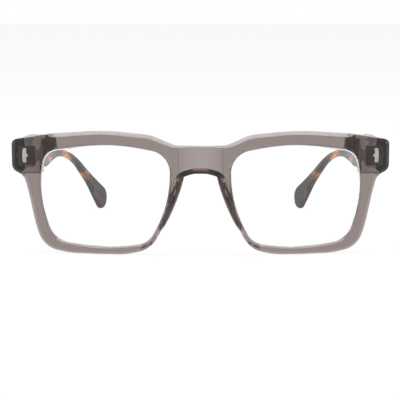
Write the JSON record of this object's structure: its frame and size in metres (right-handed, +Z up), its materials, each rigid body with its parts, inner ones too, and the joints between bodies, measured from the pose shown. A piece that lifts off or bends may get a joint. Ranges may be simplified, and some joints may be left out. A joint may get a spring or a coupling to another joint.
{
  "type": "square eyeglasses",
  "caption": "Square acetate eyeglasses: a clear grey front with clear lenses, silver plaques, five-barrel hinges and folding tortoiseshell temples.",
  "frame": {"origin": "on the table, under the middle of the open glasses' box", "axes": "+X to the wearer's left, +Y back along the temples, +Z up"},
  "size_m": [0.1448, 0.1424, 0.047],
  "materials": {
    "grey_acetate": "polished clear warm-grey acetate",
    "tortoise_acetate": "polished tortoiseshell acetate, amber and rust in near black",
    "clear_lens": "clear coated plastic lens",
    "silver_trim": "satin silver plate",
    "hinge_metal": "nickel silver",
    "core_steel": "stamped nickel silver wire"
  },
  "bodies": {
    "front": {"front_frame": "grey_acetate", "nose_pad_left": "grey_acetate", "nose_pad_right": "grey_acetate", "lens_left": "clear_lens", "lens_right": "clear_lens", "front_plaque_left": "silver_trim", "front_plaque_right": "silver_trim", "hinge_front_left": "hinge_metal", "hinge_front_right": "hinge_metal", "hinge_screw_left": "hinge_metal", "hinge_screw_right": "hinge_metal"},
    "left_temple": {"temple_left": "tortoise_acetate", "core_wire_left": "core_steel", "hinge_temple_left": "hinge_metal", "temple_rivets_left": "hinge_metal"},
    "right_temple": {"temple_right": "tortoise_acetate", "core_wire_right": "core_steel", "hinge_temple_right": "hinge_metal", "temple_rivets_right": "hinge_metal"}
  },
  "joints": [
    {"name": "left_temple_fold", "type": "hinge", "parent": "front", "child": "left_temple", "pos_m": [0.0649, -0.05615, 0.0372], "axis": [0, 0, 1], "range_deg": [0, 82]},
    {"name": "right_temple_fold", "type": "hinge", "parent": "front", "child": "right_temple", "pos_m": [-0.0649, -0.05615, 0.0372], "axis": [0, 0, -1], "range_deg": [0, 75]}
  ]
}
